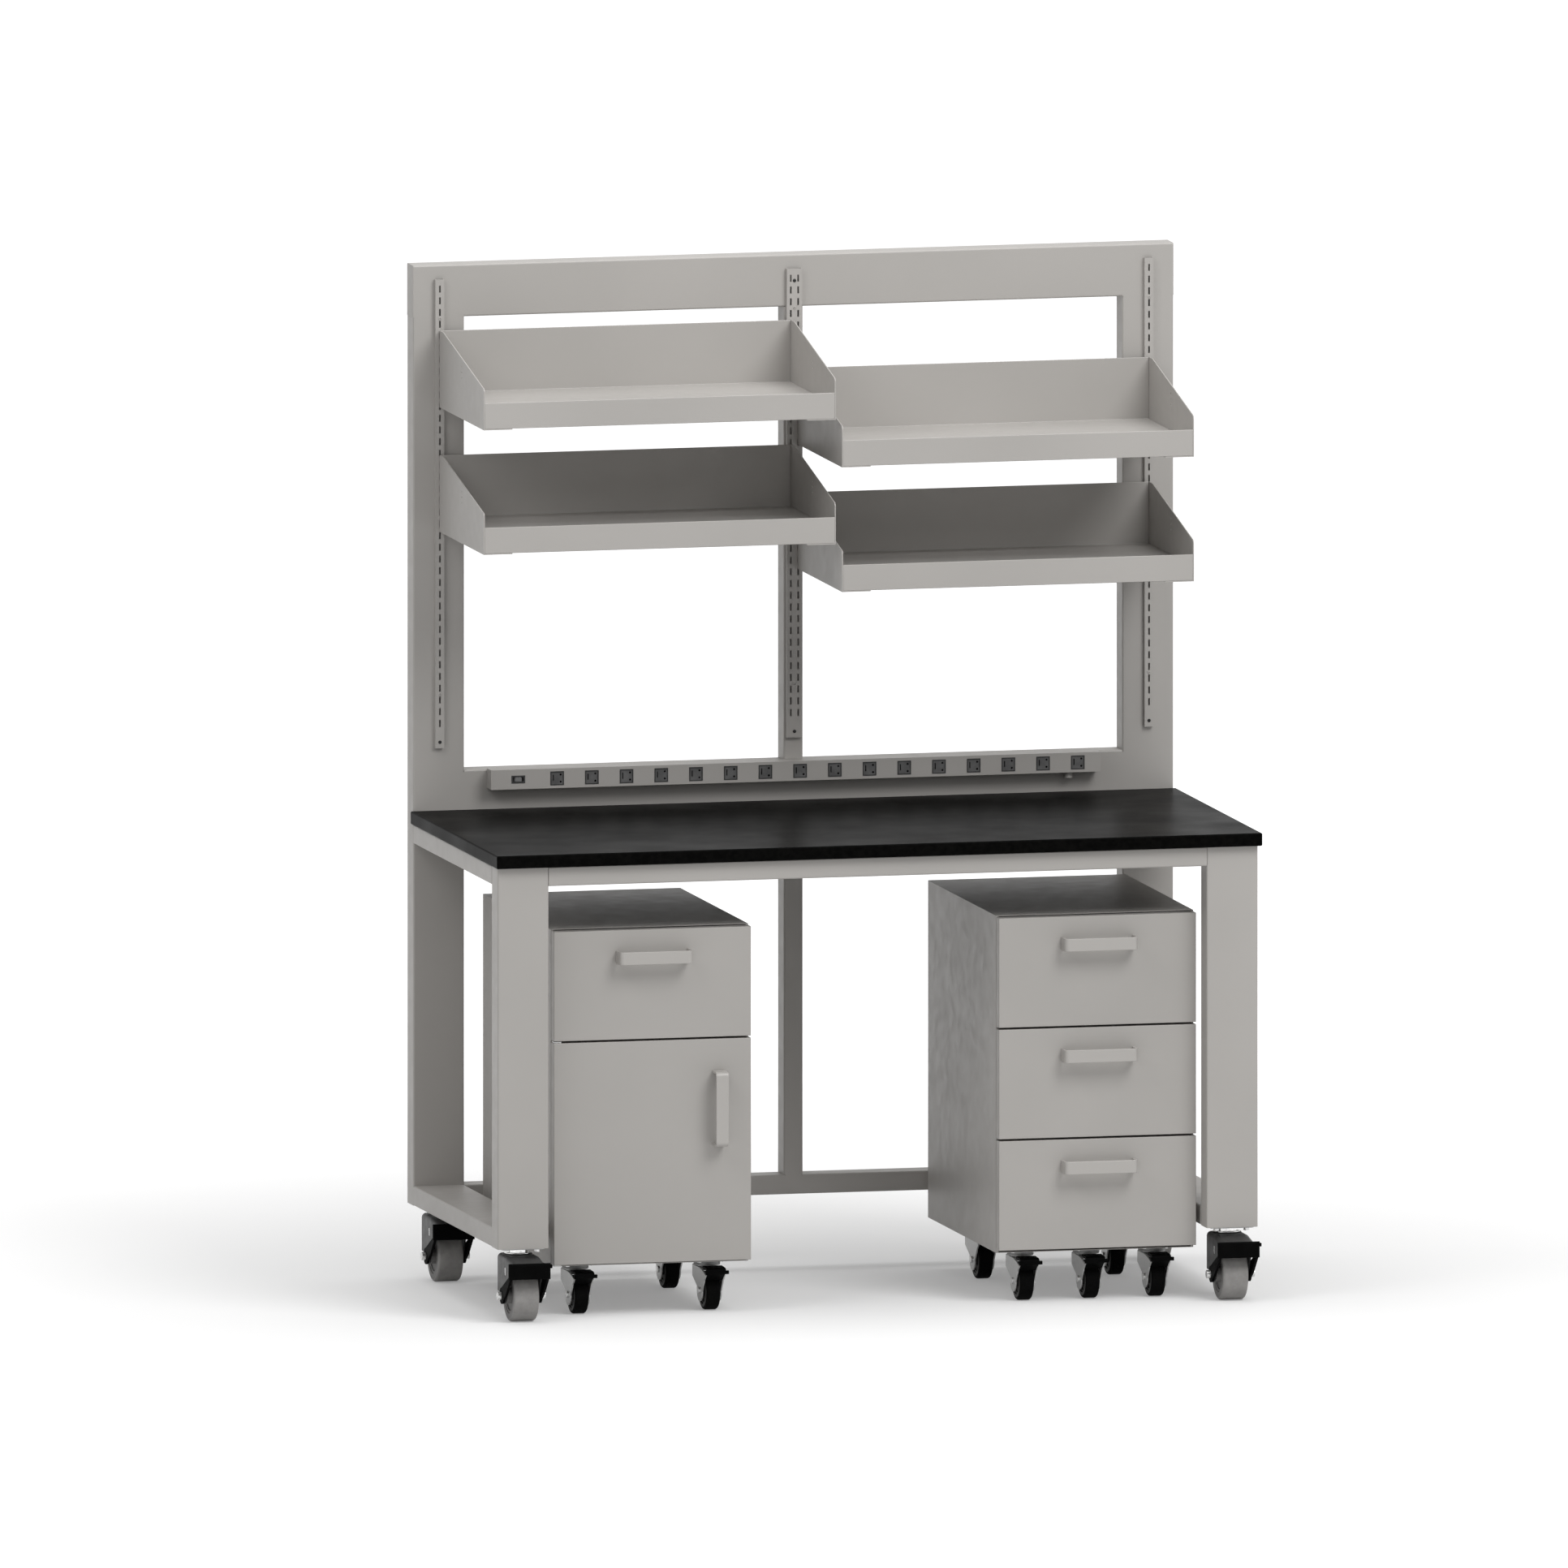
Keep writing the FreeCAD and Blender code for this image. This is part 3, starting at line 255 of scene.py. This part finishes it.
def easedCopy(node, width):
    mesh = nodes[node].data.copy()
    piece = bpy.data.objects.new(node + "_eased", mesh)
    scene.collection.objects.link(piece)
    form = bmesh.new()
    form.from_mesh(mesh)
    bmesh.ops.remove_doubles(form, verts=form.verts, dist=easedEdge["merge"])
    shared = [line for line in form.edges if len(line.link_faces) > 2]    # where two flush solids meet
    bmesh.ops.split_edges(form, edges=shared)
    bmesh.ops.dissolve_limit(form, angle_limit=easedEdge["flat"], verts=form.verts, edges=form.edges)
    form.to_mesh(mesh)
    form.free()
    mesh.shade_smooth()
    mesh.set_sharp_from_angle(angle=easedEdge["sharp"])
    bevel = piece.modifiers.new("easedEdges", "BEVEL")
    bevel.width = width
    bevel.segments = easedEdge["segments"]
    bevel.limit_method = "ANGLE"
    bevel.angle_limit = easedEdge["sharp"]
    bevel.use_clamp_overlap = True
    weigh = piece.modifiers.new("flatFaces", "WEIGHTED_NORMAL")
    weigh.mode = "FACE_AREA"
    weigh.keep_sharp = True
    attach(piece, bodyOf[node])
    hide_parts(node)
    return piece


eased = {node: easedCopy(node, width) for node, width in easing.items()}
print("edges eased on", len(easing), "nodes")


# gives a second finish to the faces whose middle and normal pass a test
def paintWhere(piece, key, test):
    mesh = piece.data
    mesh.materials.append(trim[key])
    slot = len(mesh.materials) - 1
    for face in mesh.polygons:
        if test(face.center, face.normal):
            face.material_index = slot


def middleOf(node):
    low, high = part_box(node)
    return [(low[axis] + high[axis]) / 2 for axis in range(3)]


# bolt heads, swivel races and wheel cores of both kinds of caster
benchCaster = {"trail": 0.031, "half": 0.034, "head": 0.0085, "radius": 0.050, "race": 0.0205,
               "underPlate": 0.1407, "core": "core"}
pedestalCaster = {"trail": 0.020, "half": 0.020, "head": 0.0070, "radius": 0.0375, "race": 0.0145,
                  "underPlate": 0.0960, "core": "smallCore"}
paintEdge = {"side": 0.0002, "below": 0.0005, "boltDrop": 0.008, "coreShare": 0.695}
kingpins = {"bench": [], "left": [], "right": []}
for node, piece in eased.items():
    size = benchCaster if node.startswith("bench") else pedestalCaster
    if node.endswith("_fork"):
        x, y, z = middleOf(node.replace("_fork", "_wheel"))
        kingpins[node.split("_")[0]].append((x, y + size["trail"]))
        paintWhere(piece, "bolt", lambda spot, normal: math.hypot(spot.y - y, spot.z - z) < size["head"]
                   and abs(spot.x - x) > size["half"] + paintEdge["side"])
    elif node.endswith("_wheel"):
        x, y, z = middleOf(node)
        coreRadius = size["radius"] * paintEdge["coreShare"]
        paintWhere(piece, size["core"],
                   lambda spot, normal: math.hypot(spot.y - y, spot.z - z) < coreRadius)
for group, node, size in (("bench", "bench_caster_plates", benchCaster),
                          ("left", "left_pedestal_fittings", pedestalCaster),
                          ("right", "right_pedestal_fittings", pedestalCaster)):
    under = size["underPlate"]

    def nearPin(spot):
        return min(math.hypot(spot.x - x, spot.y - y) for x, y in kingpins[group]) < size["race"]

    paintWhere(eased[node], "race",
               lambda spot, normal: spot.z < under - paintEdge["below"] and nearPin(spot))
    paintWhere(eased[node], "bolt",
               lambda spot, normal: under - paintEdge["boltDrop"] < spot.z < under - paintEdge["below"]
               and not nearPin(spot))

# dark rims of the outlets, near-black painted shade deep in their contact slots, and the rocker's face
outlets = {"front": 0.3052 - 0.0008, "pitch": 0.0691, "first": -0.4787, "middle": 0.9746,
           "recess": 0.0115 + 0.0002, "rimDepth": 0.0006, "holeDepth": 0.0013,
           "switch": -0.556, "switchHalf": 0.02, "rockerFacing": -0.5}


def inRecess(spot):
    fromFirst = spot.x - outlets["first"]
    across = abs(fromFirst - round(fromFirst / outlets["pitch"]) * outlets["pitch"])
    return across < outlets["recess"] and abs(spot.z - outlets["middle"]) < outlets["recess"]


def isSwitch(spot):
    return abs(spot.x - outlets["switch"]) < outlets["switchHalf"]


def isRim(spot, normal):
    return isSwitch(spot) or spot.y < outlets["front"] + outlets["rimDepth"] or not inRecess(spot)


# faces deep in each recess, painted near black as the shade in the contact slots
def isContactHole(spot, normal):
    return not isSwitch(spot) and inRecess(spot) and spot.y > outlets["front"] + outlets["holeDepth"]


paintWhere(eased["power_outlets"], "outletRim", isRim)
paintWhere(eased["power_outlets"], "contactHoleShade", isContactHole)
paintWhere(eased["power_rocker"], "rocker", lambda spot, normal: normal.y < outlets["rockerFacing"])
print("trim finishes placed")


# helpers for the small fittings that are made here
def finishMesh(form, name, body, slot, trimKey=None):
    bmesh.ops.recalc_face_normals(form, faces=form.faces)
    mesh = bpy.data.meshes.new(name)
    form.to_mesh(mesh)
    form.free()
    mesh.shade_smooth()
    mesh.set_sharp_from_angle(angle=math.radians(28))
    mesh.materials.append(trim[trimKey] if trimKey else finish[slot])
    piece = bpy.data.objects.new(name, mesh)
    scene.collection.objects.link(piece)
    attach(piece, body)


def addBlock(form, low, high, soften=0.0):
    made = bmesh.ops.create_cube(form, size=1.0)["verts"]
    size = [high[axis] - low[axis] for axis in range(3)]
    middle = Vector([(high[axis] + low[axis]) / 2 for axis in range(3)])
    bmesh.ops.scale(form, vec=size, verts=made)
    bmesh.ops.translate(form, vec=middle, verts=made)
    if soften:
        edges = list({line for vert in made for line in vert.link_edges})
        bmesh.ops.bevel(form, geom=edges, offset=soften, offset_type="OFFSET", affect="EDGES",
                        segments=4, profile=0.5, material=-1)


# a closed turned piece: profile gives (radius, height) pairs, axis is where its height points
def addLathe(form, profile, place, axis, steps):
    turn = Vector((0, 0, 1)).rotation_difference(Vector(axis)).to_matrix()
    ring = [form.verts.new(turn @ Vector((radius, 0, height)) + Vector(place))
            for radius, height in profile]
    edges = [form.edges.new(pair) for pair in zip(ring, ring[1:])]
    bmesh.ops.spin(form, geom=ring + edges, cent=place, axis=axis, angle=math.tau, steps=steps,
                   use_merge=True, use_duplicate=False)
    bmesh.ops.remove_doubles(form, verts=form.verts, dist=0.000001)


# ground-flush welds that close the grooves between the frame's rounded tubes
weld = {"groove": 0.0036, "lap": 0.0011, "standOff": 0.00004,      # lap: how far it covers the joint
        "inner": 0.6551, "outer": 0.7567, "front": 0.3402, "rear": 0.3910, "legRear": -0.3052,
        "topRail": 1.8764, "splashRail": (0.8899, 0.9915), "lowRail": (0.1447, 0.1828),
        "postHalf": 0.0155}
groove, lap = weld["groove"], weld["lap"]
front, rear, legRear, top = weld["front"], weld["rear"], weld["legRear"], weld["topRail"]
splashLow, splashHigh = weld["splashRail"]
railLow, railHigh = weld["lowRail"]
proudFaces = ((front - weld["standOff"], front + groove), (rear - groove, rear + weld["standOff"]))
flushFaces = ((front, front + groove), (rear - groove, rear))
fill = bmesh.new()
for side in (-1, 1):
    inner, outer = side * weld["inner"], side * weld["outer"]
    left, right = sorted((inner, outer))
    for y0, y1 in proudFaces:
        addBlock(fill, (left + groove, y0, top - lap), (right - groove, y1, top + groove))
        x0, x1 = sorted((inner + side * groove, inner - side * lap))
        for z0, z1 in (weld["splashRail"], weld["lowRail"]):
            addBlock(fill, (x0, y0, z0 + groove), (x1, y1, z1 - groove))
    for y0, y1 in flushFaces:
        addBlock(fill, (left, y0, top), (right, y1, top + groove))
    x0, x1 = sorted((outer, outer - side * groove))
    for y0, y1 in ((front, front + groove), (legRear - groove, legRear)):
        addBlock(fill, (x0, y0, railLow + groove), (x1, y1, railHigh - groove))
for z0, z1 in ((top - lap, top + groove), (splashHigh - groove, splashHigh + lap),
               (splashLow - lap, splashLow + groove), (railHigh - groove, railHigh + lap)):
    for y0, y1 in proudFaces:
        addBlock(fill, (-weld["postHalf"], y0, z0), (weld["postHalf"], y1, z1))
finishMesh(fill, "flush_welds", "bench", "powder_grey")
print("welds made")

# button-head screws that hold the slotted standards; the end ones are near black, a painted shade that
# stands in for the shade of their screw holes
screws = {"face": 0.3307, "columns": (-0.7059, 0.0, 0.7059), "levels": (1.14245, 1.48595, 1.87525),
          "foot": 1.0486, "middleTop": 1.92797, "steps": 16,
          "head": [(0.0, -0.0003), (0.0012, -0.0003), (0.0014, 0.0013), (0.00272, 0.0011),
                   (0.0034, 0.0005), (0.0034, 0.0), (0.0, 0.0)]}
painted, holeShadeScrews = bmesh.new(), bmesh.new()
for x in screws["columns"]:
    ends = (screws["foot"], screws["middleTop"]) if x == 0.0 else (screws["foot"],)
    for form, levels in ((painted, screws["levels"]), (holeShadeScrews, ends)):
        for z in levels:
            addLathe(form, screws["head"], (x, screws["face"], z), (0, -1, 0), screws["steps"])
finishMesh(painted, "standard_screws", "bench", "powder_grey")
# the end screws take the near-black painted shade of their screw holes
finishMesh(holeShadeScrews, "standard_end_screws_hole_shade", "bench", "zinc", "screwHoleShade")
print("screws made")

# swivel washers under the bench, bearing cups under the pedestals
washer = {"trim": "washer", "steps": 40,
          "profile": [(0.0202, 0.1290), (0.0256, 0.1290), (0.0262, 0.1296), (0.0262, 0.1304),
                      (0.0232, 0.1312), (0.0202, 0.1312), (0.0202, 0.1290)]}
cup = {"trim": "cup", "steps": 40,
       "profile": [(0.0143, 0.0960), (0.0262, 0.0960), (0.0262, 0.0918), (0.0252, 0.0908),
                   (0.0252, 0.0894), (0.0258, 0.0884), (0.0250, 0.0852), (0.0143, 0.0852),
                   (0.0143, 0.0960)]}
for name, group, body, ring in (("swivel_washers", "bench", "bench", washer),
                                ("left_bearing_cups", "left", "left_pedestal", cup),
                                ("right_bearing_cups", "right", "right_pedestal", cup)):
    form = bmesh.new()
    for x, y in kingpins[group]:
        addLathe(form, ring["profile"], (x, y, 0.0), (0, 0, 1), ring["steps"])
    finishMesh(form, name, body, "zinc", ring["trim"])
print("caster rings made")

# spring tabs that fill the slots of the bench forks
tab = {"outside": 0.0338, "sheet": 0.0032, "behind": -0.0385, "half": 0.0033,
       "low": 0.0904, "high": 0.1056, "soften": 0.0004}
for node in [name for name in eased if name.startswith("bench") and name.endswith("_fork")]:
    x, y, z = middleOf(node.replace("_fork", "_wheel"))
    tabY = y + benchCaster["trail"] + tab["behind"]
    form = bmesh.new()
    for side in (-1, 1):
        x0, x1 = sorted((x + side * tab["outside"], x + side * (tab["outside"] - tab["sheet"])))
        addBlock(form, (x0, tabY - tab["half"], tab["low"]), (x1, tabY + tab["half"], tab["high"]),
                 tab["soften"])
    finishMesh(form, node.replace("_fork", "_spring_tabs"), bodyOf[node], "zinc", "bolt")
print("spring tabs made")


# 1 for the rays that show the background: camera, glossy and transmission rays
def backgroundRays(tree):
    path = tree.nodes.new("ShaderNodeLightPath")
    result = path.outputs["Is Camera Ray"]
    for name in ("Is Glossy Ray", "Is Transmission Ray"):
        seen = tree.nodes.new("ShaderNodeMath")
        seen.operation = "MAXIMUM"
        tree.links.new(result, seen.inputs[0])
        tree.links.new(path.outputs[name], seen.inputs[1])
        result = seen.outputs[0]
    return result


# pale floor that takes the shadow and glows into white away from the object; its glow is weaker near the
# object, which paints a soft shade around it
floorLook = {"tone": 0.72, "roughness": 0.9, "shine": 0.1, "reach": 30.0, "nearGlowPaintedShade": 0.225,
             "farGlow": 0.83, "nearEdge": 0.9, "farEdge": 5.0, "glowShift": (0.0, 0.6, 0.0)}


def makeFloor():
    form = bmesh.new()
    bmesh.ops.create_grid(form, x_segments=1, y_segments=1, size=floorLook["reach"])
    mesh = bpy.data.meshes.new("floor")
    form.to_mesh(mesh)
    form.free()
    floor = bpy.data.objects.new("floor", mesh)
    scene.collection.objects.link(floor)
    material, tree, shader = startMaterial("paleFloor", shine=floorLook["shine"])
    shader.inputs["Roughness"].default_value = floorLook["roughness"]
    shader.inputs["Base Color"].default_value = (floorLook["tone"],) * 3 + (1,)
    place = tree.nodes.new("ShaderNodeTexCoord")
    shift = tree.nodes.new("ShaderNodeVectorMath")
    shift.operation = "ADD"
    shift.inputs[1].default_value = floorLook["glowShift"]
    tree.links.new(place.outputs["Object"], shift.inputs[0])
    distance = tree.nodes.new("ShaderNodeVectorMath")
    distance.operation = "LENGTH"
    tree.links.new(shift.outputs[0], distance.inputs[0])
    # glow weak near the object and strong far out: the weak glow near it is painted shade
    spread = tree.nodes.new("ShaderNodeMapRange")
    spread.interpolation_type = "SMOOTHSTEP"
    spread.inputs["From Min"].default_value = floorLook["nearEdge"]
    spread.inputs["From Max"].default_value = floorLook["farEdge"]
    spread.inputs["To Min"].default_value = floorLook["nearGlowPaintedShade"]
    spread.inputs["To Max"].default_value = floorLook["farGlow"]
    tree.links.new(distance.outputs["Value"], spread.inputs["Value"])
    glow = tree.nodes.new("ShaderNodeEmission")
    tree.links.new(spread.outputs["Result"], glow.inputs["Strength"])
    dark = tree.nodes.new("ShaderNodeEmission")
    dark.inputs["Strength"].default_value = 0.0
    pick = tree.nodes.new("ShaderNodeMixShader")
    tree.links.new(backgroundRays(tree), pick.inputs["Fac"])
    tree.links.new(dark.outputs[0], pick.inputs[1])
    tree.links.new(glow.outputs[0], pick.inputs[2])
    both = tree.nodes.new("ShaderNodeAddShader")
    tree.links.new(shader.outputs[0], both.inputs[0])
    tree.links.new(pick.outputs[0], both.inputs[1])
    tree.links.new(both.outputs[0], tree.nodes["Material Output"].inputs["Surface"])
    mesh.materials.append(material)


airStrength = 0.35      # soft light from all round


def makeWorld():
    world = bpy.data.worlds.new("studioAir")
    scene.world = world
    world.use_nodes = True
    tree = world.node_tree
    air = tree.nodes["Background"]
    air.inputs["Color"].default_value = (1.0, 1.0, 1.0, 1)
    air.inputs["Strength"].default_value = airStrength
    white = tree.nodes.new("ShaderNodeBackground")
    white.inputs["Strength"].default_value = 1.0
    pick = tree.nodes.new("ShaderNodeMixShader")
    tree.links.new(backgroundRays(tree), pick.inputs["Fac"])
    tree.links.new(air.outputs[0], pick.inputs[1])
    tree.links.new(white.outputs[0], pick.inputs[2])
    tree.links.new(pick.outputs[0], tree.nodes["World Output"].inputs["Surface"])


lamps = {"keyLamp": {"place": (2.3, -4.7, 5.7), "size": 3.8, "power": 254.0},
         "topLamp": {"place": (-0.3, 0.2, 7.2), "size": 5.5, "power": 208.0},
         "leftLamp": {"place": (-3.6, -2.3, 4.6), "size": 2.6, "power": 46.0},
         "frontLamp": {"place": (-0.8, -6.5, 2.2), "size": 4.5, "power": 16.0}}
lampTarget = (0, 0, 0.9)


def addLamp(name, place, size, power):
    lamp = bpy.data.lights.new(name, "AREA")
    lamp.shape = "DISK"
    lamp.size = size
    lamp.energy = power
    holder = bpy.data.objects.new(name, lamp)
    holder.location = place
    holder.rotation_mode = "QUATERNION"
    holder.rotation_quaternion = (Vector(lampTarget) - Vector(place)).to_track_quat("-Z", "Y")
    scene.collection.objects.link(holder)


# long lens from the front and a little to the left and above
view = {"azimuth": math.radians(13.586), "elevation": math.radians(7.275), "width": 3.0343,
        "target": (-0.10082, 0.0, 0.98989), "distance": 12.0, "farClip": 100.0}


def addCamera():
    azimuth, elevation = view["azimuth"], view["elevation"]
    lens = bpy.data.cameras.new("camera")
    lens.type = "ORTHO"
    lens.ortho_scale = view["width"]
    lens.clip_end = view["farClip"]
    camera = bpy.data.objects.new("camera", lens)
    look = Vector((math.sin(azimuth) * math.cos(elevation), math.cos(azimuth) * math.cos(elevation),
                   -math.sin(elevation)))
    camera.rotation_mode = "QUATERNION"
    camera.rotation_quaternion = look.to_track_quat("-Z", "Y")
    camera.location = Vector(view["target"]) - look * view["distance"]
    scene.collection.objects.link(camera)
    scene.camera = camera


makeFloor()
makeWorld()
for name, lamp in lamps.items():
    addLamp(name, **lamp)
addCamera()
print("studio set")
